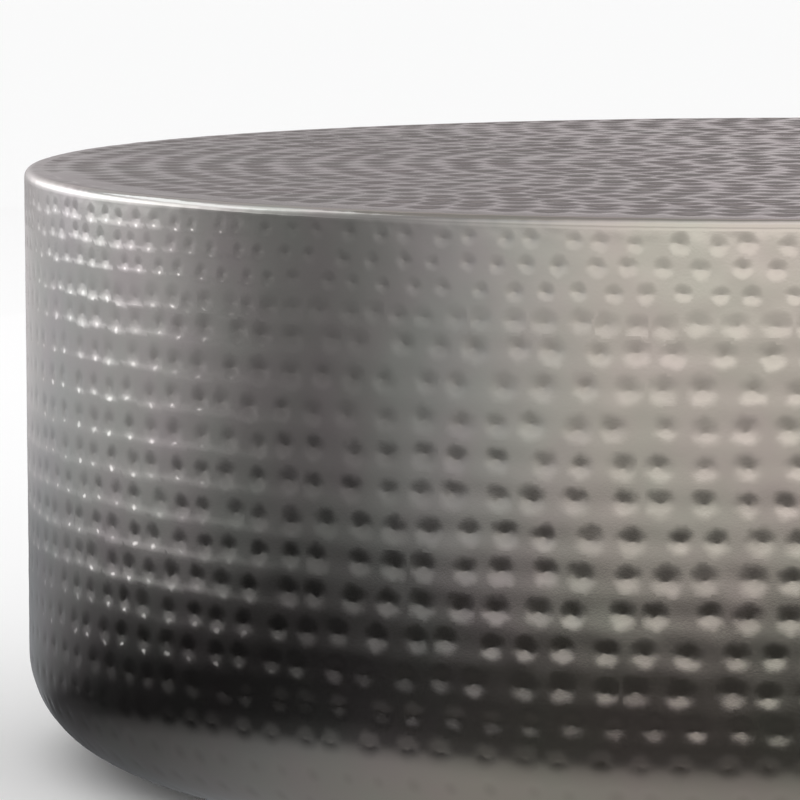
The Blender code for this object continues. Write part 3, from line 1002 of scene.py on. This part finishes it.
# The top: the flat of the same raised disc, beaten in one long spiral from its middle.
# The last turn stops short of the edge and leaves a smooth margin round it.
TOP_RADIUS = RADIUS - EDGE_RADIUS - MARGIN
top_tree, given = new_tree(
    "beaten_top",
    {
        "Radius": TOP_RADIUS,
        "Height": HEIGHT,
        "Thickness": SHEET,
        "Side": 100,
        "Pitch": 0.0240,
        "Spacing": 0.0245,
        "Blows": 1058,
        "Slip": 0.0030,
        "Depth": 0.00090,
        "Width": 0.0121,
        "Waviness": 0.0005,
        "Seed": 47,
        "Finish": "NodeSocketMaterial",
    },
    {"Top": "NodeSocketGeometry"},
)
tree = top_tree
index = add(tree, "GeometryNodeInputIndex")
per_radian = add(tree, "ShaderNodeMath", [given["Pitch"], math.tau], operation="DIVIDE")
length = add(tree, "ShaderNodeMath", [index, given["Spacing"]], operation="MULTIPLY")
length = add(tree, "ShaderNodeMath", [length, 2.0], operation="MULTIPLY")
winding = add(tree, "ShaderNodeMath", [length, per_radian], operation="DIVIDE")
winding = add(tree, "ShaderNodeMath", [winding, 0.5], operation="POWER")
reach = add(tree, "ShaderNodeMath", [winding, per_radian], operation="MULTIPLY")
wind_x = add(tree, "ShaderNodeMath", [winding], operation="COSINE")
wind_y = add(tree, "ShaderNodeMath", [winding], operation="SINE")
blow_x = add(tree, "ShaderNodeMath", [wind_x, reach], operation="MULTIPLY")
blow_y = add(tree, "ShaderNodeMath", [wind_y, reach], operation="MULTIPLY")
blow = add(tree, "ShaderNodeCombineXYZ", [blow_x, blow_y, given["Height"]])
slip = add(
    tree,
    "FunctionNodeRandomValue",
    {0: (-1.0, -1.0, 0.0), 1: (1.0, 1.0, 0.0), "ID": index, "Seed": given["Seed"]},
    data_type="FLOAT_VECTOR",
)
slip = add(tree, "ShaderNodeVectorMath", {0: slip, "Scale": given["Slip"]}, operation="SCALE")
blow = add(tree, "ShaderNodeVectorMath", [blow, slip], operation="ADD")
blows = add(tree, "GeometryNodePoints", {"Count": given["Blows"], "Position": blow})
second = add(tree, "ShaderNodeMath", [given["Seed"], 1.0], operation="ADD")
third = add(tree, "ShaderNodeMath", [given["Seed"], 2.0], operation="ADD")
SOFTEST_TOP_BLOW = 0.55
HARDEST_TOP_BLOW = 1.25
force = add(
    tree,
    "FunctionNodeRandomValue",
    {2: SOFTEST_TOP_BLOW, 3: HARDEST_TOP_BLOW, "ID": index, "Seed": second},
    output=1,
)
force = add(tree, "ShaderNodeMath", [force, given["Depth"]], operation="MULTIPLY")
spread = add(
    tree,
    "FunctionNodeRandomValue",
    {2: NARROWEST_BLOW, 3: WIDEST_BLOW, "ID": index, "Seed": third},
    output=1,
)
spread = add(tree, "ShaderNodeMath", [spread, given["Width"]], operation="MULTIPLY")
for name, value in (("depth", force), ("width", spread)):
    blows = add(
        tree,
        "GeometryNodeStoreNamedAttribute",
        {"Geometry": blows, "Name": name, "Value": value},
        data_type="FLOAT",
        domain="POINT",
    )
# A square grid is drawn out to a round one, each square ring of it becoming a circle.
EIGHTH = math.pi / 4
verts = add(tree, "ShaderNodeMath", [given["Side"], 1.0], operation="ADD")
skin = add(
    tree,
    "GeometryNodeMeshGrid",
    {"Size X": 2.0, "Size Y": 2.0, "Vertices X": verts, "Vertices Y": verts},
)
where = add(tree, "GeometryNodeInputPosition")
grid_x = add(tree, "ShaderNodeSeparateXYZ", [where], output=0)
grid_y = add(tree, "ShaderNodeSeparateXYZ", [where], output=1)
size_x = add(tree, "ShaderNodeMath", [grid_x], operation="ABSOLUTE")
size_y = add(tree, "ShaderNodeMath", [grid_y], operation="ABSOLUTE")
steep = add(tree, "ShaderNodeMath", [size_y, size_x], operation="GREATER_THAN")
low_turn = add(tree, "ShaderNodeMath", [grid_y, grid_x], operation="DIVIDE")
low_turn = add(tree, "ShaderNodeMath", [low_turn, EIGHTH], operation="MULTIPLY")
high_turn = add(tree, "ShaderNodeMath", [grid_x, grid_y], operation="DIVIDE")
high_turn = add(tree, "ShaderNodeMath", [high_turn, -EIGHTH], operation="MULTIPLY")
high_turn = add(tree, "ShaderNodeMath", [high_turn, QUARTER], operation="ADD")
turned = add(
    tree, "ShaderNodeMix", {"Factor": steep, 2: low_turn, 3: high_turn}, data_type="FLOAT"
)
reach = add(tree, "ShaderNodeMix", {"Factor": steep, 2: grid_x, 3: grid_y}, data_type="FLOAT")
reach = add(tree, "ShaderNodeMath", [reach, given["Radius"]], operation="MULTIPLY")
round_x = add(tree, "ShaderNodeMath", [turned], operation="COSINE")
round_y = add(tree, "ShaderNodeMath", [turned], operation="SINE")
flat_x = add(tree, "ShaderNodeMath", [round_x, reach], operation="MULTIPLY")
flat_y = add(tree, "ShaderNodeMath", [round_y, reach], operation="MULTIPLY")
spot = add(tree, "ShaderNodeCombineXYZ", [flat_x, flat_y, given["Height"]])
DOMED_PUNCH = 0.0025
driven = add(
    tree,
    "GeometryNodeGroup",
    {"Blows": blows, "Spot": spot, "Punch end": DOMED_PUNCH},
    node_tree=dents,
)
reach = add(tree, "ShaderNodeMath", [reach], operation="ABSOLUTE")
LAST_TURN = 0.006
inner = add(tree, "ShaderNodeMath", [given["Radius"], LAST_TURN], operation="SUBTRACT")
driven = fade(tree, driven, [(reach, given["Radius"], inner)])
wave = add(
    tree, "ShaderNodeTexNoise", {"Vector": spot, "Scale": 1000 / WAVE_MM, "Detail": 1.0}
)
wave = add(tree, "ShaderNodeMath", [wave, NOISE_MIDDLE], operation="SUBTRACT")
wave = add(tree, "ShaderNodeMath", [wave, given["Waviness"]], operation="MULTIPLY")
moved = add(tree, "ShaderNodeMath", [wave, driven], operation="SUBTRACT")
offset = add(tree, "ShaderNodeCombineXYZ", [0.0, 0.0, moved])
spot = add(tree, "ShaderNodeVectorMath", [spot, offset], operation="ADD")
mark_share = add(tree, "ShaderNodeMath", [driven, given["Depth"]], operation="DIVIDE")
skin = add(
    tree,
    "GeometryNodeStoreNamedAttribute",
    {"Geometry": skin, "Name": "mark", "Value": mark_share},
    data_type="FLOAT",
    domain="POINT",
)
skin = add(tree, "GeometryNodeSetPosition", {"Geometry": skin, "Position": spot})
# The outer edge is drawn down by the sheet's thickness, and is closed below once the mesh is kept.
edges = add(tree, "GeometryNodeInputMeshEdgeNeighbors")
open_edge = add(tree, "FunctionNodeCompare", {2: edges, 3: 1}, data_type="INT", operation="EQUAL")
depth = add(tree, "ShaderNodeMath", [given["Thickness"], -1.0], operation="MULTIPLY")
offset = add(tree, "ShaderNodeCombineXYZ", [0.0, 0.0, depth])
skin = add(
    tree,
    "GeometryNodeExtrudeMesh",
    {"Mesh": skin, "Selection": open_edge, "Offset": offset, "Offset Scale": 1.0},
    mode="EDGES",
)
skin = add(tree, "GeometryNodeSetShadeSmooth", {"Geometry": skin})
skin = add(tree, "GeometryNodeRealizeInstances", {"Geometry": skin})
skin = add(tree, "GeometryNodeSetMaterial", {"Geometry": skin, "Material": given["Finish"]})
add(tree, "NodeGroupOutput", [skin])

TOP_SIDE = 306
top = grow("beaten_top", top_tree, {"Side": TOP_SIDE, "Finish": nickel})
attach(top, "root")
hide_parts("top_pan")


# The studio: a pale floor under an even white sky, and graded cards that only the metal sees.
# The cards stand where a product photographer hangs cards round a shiny drum, but they glow, light
# nothing and are seen only in the metal: their tones are painted reflections, with painted shade
# where they are dark.


def set_up(name, shape, finish):
    """A thing in the studio, made from its finished shape."""
    mesh = bpy.data.meshes.new(name)
    shape.to_mesh(mesh)
    shape.free()
    mesh.materials.append(finish)
    thing = bpy.data.objects.new(name, mesh)
    bpy.context.scene.collection.objects.link(thing)
    return thing


# Matt white paper, which shows the table's shadow and little else.
FLOOR_SIZE = 60.0
pale, tree = new_finish("pale_floor_paper")
shader = add(
    tree, "ShaderNodeBsdfPrincipled", {"Base Color": linear("#FAFAFA"), "Roughness": 0.9}
)
# Seen from below the paper is clear, so that the table's underside shows.
clear = add(tree, "ShaderNodeBsdfTransparent")
below = add(tree, "ShaderNodeNewGeometry", output="Backfacing")
shader = add(tree, "ShaderNodeMixShader", [below, shader, clear])
add(tree, "ShaderNodeOutputMaterial", {"Surface": shader})
shape = bmesh.new()
bmesh.ops.create_grid(shape, x_segments=1, y_segments=1, size=FLOOR_SIZE / 2)
floor = set_up("studio_floor", shape, pale)

world = bpy.data.worlds.new("white_sky")
bpy.context.scene.world = world
world.use_nodes = True
tree = world.node_tree
tree.nodes.clear()
sky = add(tree, "ShaderNodeBackground", {"Color": (1.0, 1.0, 1.0, 1.0), "Strength": 1.0})
add(tree, "ShaderNodeOutputWorld", {"Surface": sky})


def hang_card(name, shape, finish):
    """A card that is seen in reflections and nowhere else."""
    card = set_up(name, shape, finish)
    card.visible_camera = False
    card.visible_diffuse = False
    card.visible_shadow = False


def grey(tone):
    """A card's tone as a colour, where 1 is white paper and more is a lit card."""
    return (tone, tone, tone, 1.0)


def share_of_turn(degrees):
    """A turn round the table as a share: the left is at -90, the front at 0, the right at 90."""
    return degrees / 360 + 0.5


def turn_round(tree, here):
    """That same share, worked out for each spot of a card."""
    side_x = add(tree, "ShaderNodeSeparateXYZ", [here], output=0)
    side_y = add(tree, "ShaderNodeSeparateXYZ", [here], output=1)
    minus_y = add(tree, "ShaderNodeMath", [side_y, -1.0], operation="MULTIPLY")
    turned = add(tree, "ShaderNodeMath", [side_x, minus_y], operation="ARCTAN2")
    turned = add(tree, "ShaderNodeMath", [turned, math.tau], operation="DIVIDE")
    return add(tree, "ShaderNodeMath", [turned, 0.5], operation="ADD")


# A sheet on the floor, seen only in the metal: palest by the table's foot and far out, with a dark
# ring between. Its tones are a painted reflection of the floor, and the dark ring is painted shade.
FLOOR_CARD_REACH = 4.5
FLOOR_CARD_HEIGHT = 0.002
CARD_CORNERS = 96
painted_floor_reflection, tree = new_finish("painted_floor_reflection_card")
here = add(tree, "ShaderNodeTexCoord", output="Object")
away = add(tree, "ShaderNodeVectorMath", [here], output=1, operation="LENGTH")
away = add(tree, "ShaderNodeMath", [away, FLOOR_CARD_REACH], operation="DIVIDE")
FLOOR_TONES = [
    (0.45, 0.40),
    (0.54, 0.28),
    (0.64, 0.12),
    (0.76, 0.05),
    (0.98, 0.04),
    (1.20, 0.13),
    (1.37, 0.23),
    (1.55, 0.43),
    (1.80, 0.63),
    (2.16, 0.74),
    (2.54, 0.75),
    (3.02, 0.84),
    (3.50, 0.86),
    (4.15, 0.98),
    (4.50, 1.10),
]
BACK_FLOOR_TONES = [
    (0.45, 0.32),
    (0.75, 0.28),
    (1.00, 0.28),
    (1.20, 0.31),
    (1.50, 0.45),
    (2.20, 0.63),
    (3.10, 0.65),
    (4.50, 0.64),
]
turned = turn_round(tree, here)
# The dark ring lies nearer or further out as it goes round, by metres that are counted from a
# start above nought, because a colour ramp holds no less than that.
SHIFT_START = 0.15
FLOOR_SHIFTS = [
    (-180, 0.15),
    (-125, 0.15),
    (-100, 0.18),
    (-88, 0.30),
    (-76, 0.25),
    (-66, 0.12),
    (-56, 0.05),
    (-46, 0.03),
    (-36, 0.05),
    (-24, 0.10),
    (0, 0.11),
    (30, 0.15),
    (180, 0.15),
]
shift = add(
    tree,
    "ShaderNodeValToRGB",
    {"Fac": turned},
    stops=[(share_of_turn(angle), grey(by)) for angle, by in FLOOR_SHIFTS],
)
shift = add(tree, "ShaderNodeMath", [shift, SHIFT_START], operation="SUBTRACT")
shift = add(tree, "ShaderNodeMath", [shift, FLOOR_CARD_REACH], operation="DIVIDE")
away = add(tree, "ShaderNodeMath", [away, shift], operation="ADD")
front_tone, back_tone = (
    add(
        tree,
        "ShaderNodeValToRGB",
        {"Fac": away},
        stops=[(far / FLOOR_CARD_REACH, grey(tone)) for far, tone in tones],
    )
    for tones in (FLOOR_TONES, BACK_FLOOR_TONES)
)
TURN_TONES = [
    (-180, 0.60),
    (-140, 0.80),
    (-110, 0.82),
    (-97, 0.70),
    (-86, 0.46),
    (-77, 0.31),
    (-68, 0.27),
    (-60, 0.34),
    (-51, 0.52),
    (-43, 0.71),
    (-34, 0.86),
    (-26, 0.97),
    (-10, 1.00),
    (40, 1.00),
    (90, 0.75),
    (140, 0.65),
    (180, 0.60),
]
turn_tone = add(
    tree,
    "ShaderNodeValToRGB",
    {"Fac": turned},
    stops=[(share_of_turn(angle), grey(tone)) for angle, tone in TURN_TONES],
)
# The light is a little warm in front and behind, and cool at the left.
TINTS = [
    (-180, "#FFF6F8"),
    (-150, "#FAF8FA"),
    (-130, "#F4F8FE"),
    (-48, "#F5F8FE"),
    (-25, "#FFFEFA"),
    (0, "#FFFDF8"),
    (90, "#FFFFFF"),
    (180, "#FFF6F8"),
]
tint = add(
    tree,
    "ShaderNodeValToRGB",
    {"Fac": turned},
    stops=[(share_of_turn(angle), linear(code)) for angle, code in TINTS],
)
front_tone = add(tree, "ShaderNodeVectorMath", [front_tone, turn_tone], operation="MULTIPLY")
BEHIND_FROM = 88
BEHIND_AT = 124
behind = add(tree, "ShaderNodeMath", [turned, share_of_turn(0)], operation="SUBTRACT")
behind = add(tree, "ShaderNodeMath", [behind], operation="ABSOLUTE")
behind = add(
    tree,
    "ShaderNodeMapRange",
    {"Value": behind, "From Min": BEHIND_FROM / 360, "From Max": BEHIND_AT / 360},
    interpolation_type="SMOOTHSTEP",
)
tone = add(
    tree,
    "ShaderNodeMix",
    {"Factor": behind, 6: front_tone, 7: back_tone},
    output=2,
    data_type="RGBA",
)
tone = add(tree, "ShaderNodeVectorMath", [tone, tint], operation="MULTIPLY")
shader = add(tree, "ShaderNodeEmission", {"Color": tone, "Strength": 1.0})
add(tree, "ShaderNodeOutputMaterial", {"Surface": shader})
shape = bmesh.new()
bmesh.ops.create_circle(shape, cap_ends=True, segments=CARD_CORNERS, radius=FLOOR_CARD_REACH)
bmesh.ops.translate(shape, verts=shape.verts[:], vec=(0.0, 0.0, FLOOR_CARD_HEIGHT))
hang_card("floor_card", shape, painted_floor_reflection)

# A round curtain, seen only in the metal: bright in front, a dark flag at the left, a lit card behind
# that, and grey at the back. Its tones are painted reflections: the dark flag is painted shade, and
# the lit card paints glints and highlights. It is toned at six heights, because the marks tip what
# they mirror up and down.
CURTAIN_RADIUS = 4.4
CURTAIN_HEIGHT = 6.0
painted_curtain_reflection, tree = new_finish("painted_curtain_reflection")
here = add(tree, "ShaderNodeTexCoord", output="Object")
rise = add(tree, "ShaderNodeSeparateXYZ", [here], output=2)
turned = turn_round(tree, here)
CURTAIN_HEIGHTS = [0.03, 0.15, 0.55, 0.85, 1.20, 2.20]
CURTAIN_TONES = [
    (-180, [0.69, 0.70, 0.65, 0.34, 0.23, 0.65]),
    (-173, [0.60, 0.61, 0.48, 0.32, 0.24, 0.56]),
    (-168, [0.54, 0.55, 0.47, 0.34, 0.27, 0.56]),
    (-160, [0.49, 0.54, 0.72, 0.74, 0.62, 0.60]),
    (-152, [0.51, 0.62, 1.00, 1.24, 1.00, 0.65]),
    (-144, [0.66, 0.95, 1.70, 2.10, 1.70, 0.70]),
    (-135, [0.80, 1.20, 2.20, 3.20, 2.60, 0.65]),
    (-120, [0.98, 1.60, 2.40, 3.60, 3.10, 1.20]),
    (-106, [0.82, 1.20, 1.90, 3.00, 2.50, 1.50]),
    (-95, [0.48, 0.58, 0.80, 2.20, 2.00, 1.60]),
    (-84, [0.31, 0.32, 0.40, 1.30, 0.95, 0.90]),
    (-74, [0.25, 0.26, 0.30, 0.70, 0.50, 0.55]),
    (-62, [0.29, 0.31, 0.35, 0.45, 0.40, 0.50]),
    (-48, [0.52, 0.62, 0.70, 0.62, 0.60, 0.85]),
    (-34, [0.86, 1.02, 1.02, 0.84, 0.84, 1.20]),
    (-15, [1.20, 1.36, 1.36, 1.14, 0.96, 1.30]),
    (0, [1.26, 1.42, 1.42, 1.18, 0.98, 1.32]),
    (25, [1.14, 1.28, 1.30, 1.00, 0.80, 1.32]),
    (60, [0.90, 0.95, 1.05, 0.74, 0.54, 1.30]),
    (110, [0.70, 0.70, 0.72, 0.60, 0.48, 0.95]),
    (150, [0.68, 0.68, 0.64, 0.38, 0.28, 0.70]),
    (180, [0.70, 0.71, 0.66, 0.35, 0.24, 0.66]),
]
bands = [
    add(
        tree,
        "ShaderNodeValToRGB",
        {"Fac": turned},
        stops=[(share_of_turn(angle), grey(tones[level])) for angle, tones in CURTAIN_TONES],
    )
    for level in range(len(CURTAIN_HEIGHTS))
]
tone = bands[0]
for band, low, high in zip(bands[1:], CURTAIN_HEIGHTS, CURTAIN_HEIGHTS[1:]):
    share = add(
        tree,
        "ShaderNodeMapRange",
        {"Value": rise, "From Min": low, "From Max": high},
        interpolation_type="SMOOTHSTEP",
    )
    tone = add(
        tree, "ShaderNodeMix", {"Factor": share, 6: tone, 7: band}, output=2, data_type="RGBA"
    )
tint = add(
    tree,
    "ShaderNodeValToRGB",
    {"Fac": turned},
    stops=[(share_of_turn(angle), linear(code)) for angle, code in TINTS],
)
tone = add(tree, "ShaderNodeVectorMath", [tone, tint], operation="MULTIPLY")
shader = add(tree, "ShaderNodeEmission", {"Color": tone, "Strength": 1.0})
add(tree, "ShaderNodeOutputMaterial", {"Surface": shader})
shape = bmesh.new()
bmesh.ops.create_cone(
    shape,
    cap_ends=False,
    segments=CARD_CORNERS,
    radius1=CURTAIN_RADIUS,
    radius2=CURTAIN_RADIUS,
    depth=CURTAIN_HEIGHT,
    matrix=Matrix.Translation((0.0, 0.0, CURTAIN_HEIGHT / 2)),
)
hang_card("curtain", shape, painted_curtain_reflection)

# A ceiling card over the curtain, seen only in the metal, palest at the front right and grey at the
# back left: a painted reflection of the ceiling.
CEILING_SLANT = (0.7, -0.7, 0.0)
CEILING_TONES = [(0.0, 0.40), (0.35, 0.50), (0.5, 1.00), (0.7, 1.40), (1.0, 1.40)]
ceiling, tree = new_finish("ceiling_card")
here = add(tree, "ShaderNodeTexCoord", output="Object")
slant = add(tree, "ShaderNodeVectorMath", [here, CEILING_SLANT], output=1, operation="DOT_PRODUCT")
slant = add(
    tree,
    "ShaderNodeMapRange",
    {"Value": slant, "From Min": -CURTAIN_RADIUS, "From Max": CURTAIN_RADIUS},
)
tone = add(
    tree,
    "ShaderNodeValToRGB",
    {"Fac": slant},
    stops=[(place, grey(tone)) for place, tone in CEILING_TONES],
)
shader = add(tree, "ShaderNodeEmission", {"Color": tone, "Strength": 1.0})
add(tree, "ShaderNodeOutputMaterial", {"Surface": shader})
shape = bmesh.new()
bmesh.ops.create_circle(shape, cap_ends=True, segments=CARD_CORNERS, radius=CURTAIN_RADIUS)
bmesh.ops.translate(shape, verts=shape.verts[:], vec=(0.0, 0.0, CURTAIN_HEIGHT))
hang_card("ceiling_card", shape, ceiling)

# A glowing card high at the left, turned to the table and seen only in the metal, that paints the
# bright line along the rim: a painted highlight.
BOX_WIDTH = 3.0
BOX_HEIGHT = 0.80
BOX_PLACE = Matrix.Translation((-3.1, 1.3, 2.4))
HALF_SQUARE = 0.5
painted_rim_highlight, tree = new_finish("painted_rim_highlight_cloth")
shader = add(tree, "ShaderNodeEmission", {"Color": linear("#F1F8FF"), "Strength": 2.1})
add(tree, "ShaderNodeOutputMaterial", {"Surface": shader})
towards = (-BOX_PLACE.translation).to_track_quat("-Z", "Y").to_matrix().to_4x4()
shape = bmesh.new()
bmesh.ops.create_grid(
    shape,
    x_segments=1,
    y_segments=1,
    size=HALF_SQUARE,
    matrix=BOX_PLACE @ towards @ Matrix.Diagonal((BOX_WIDTH, BOX_HEIGHT, 1.0, 1.0)),
)
hang_card("painted_rim_highlight", shape, painted_rim_highlight)


# The camera: a long lens a little above the table, aimed at the left half of the drum.
# Its lens is in millimetres, and its turns to the left, down and round are in degrees.
CAMERA_PLACE = (0.0, -3.380, 0.560)
CAMERA_LENS = 260.9
CAMERA_LEFT = 4.066
CAMERA_DOWN = 6.022
CAMERA_ROLL = 0.240
camera = bpy.data.objects.new("camera", bpy.data.cameras.new("camera"))
bpy.context.scene.collection.objects.link(camera)
camera.data.lens = CAMERA_LENS
camera.data.sensor_width = 36.0
camera.data.clip_end = 200.0
camera.matrix_world = (
    Matrix.Translation(CAMERA_PLACE)
    @ Matrix.Rotation(math.radians(CAMERA_LEFT), 4, "Z")
    @ Matrix.Rotation(math.radians(90 - CAMERA_DOWN), 4, "X")
    @ Matrix.Rotation(math.radians(-CAMERA_ROLL), 4, "Z")
)
bpy.context.scene.camera = camera
bpy.context.scene.view_settings.view_transform = "Standard"
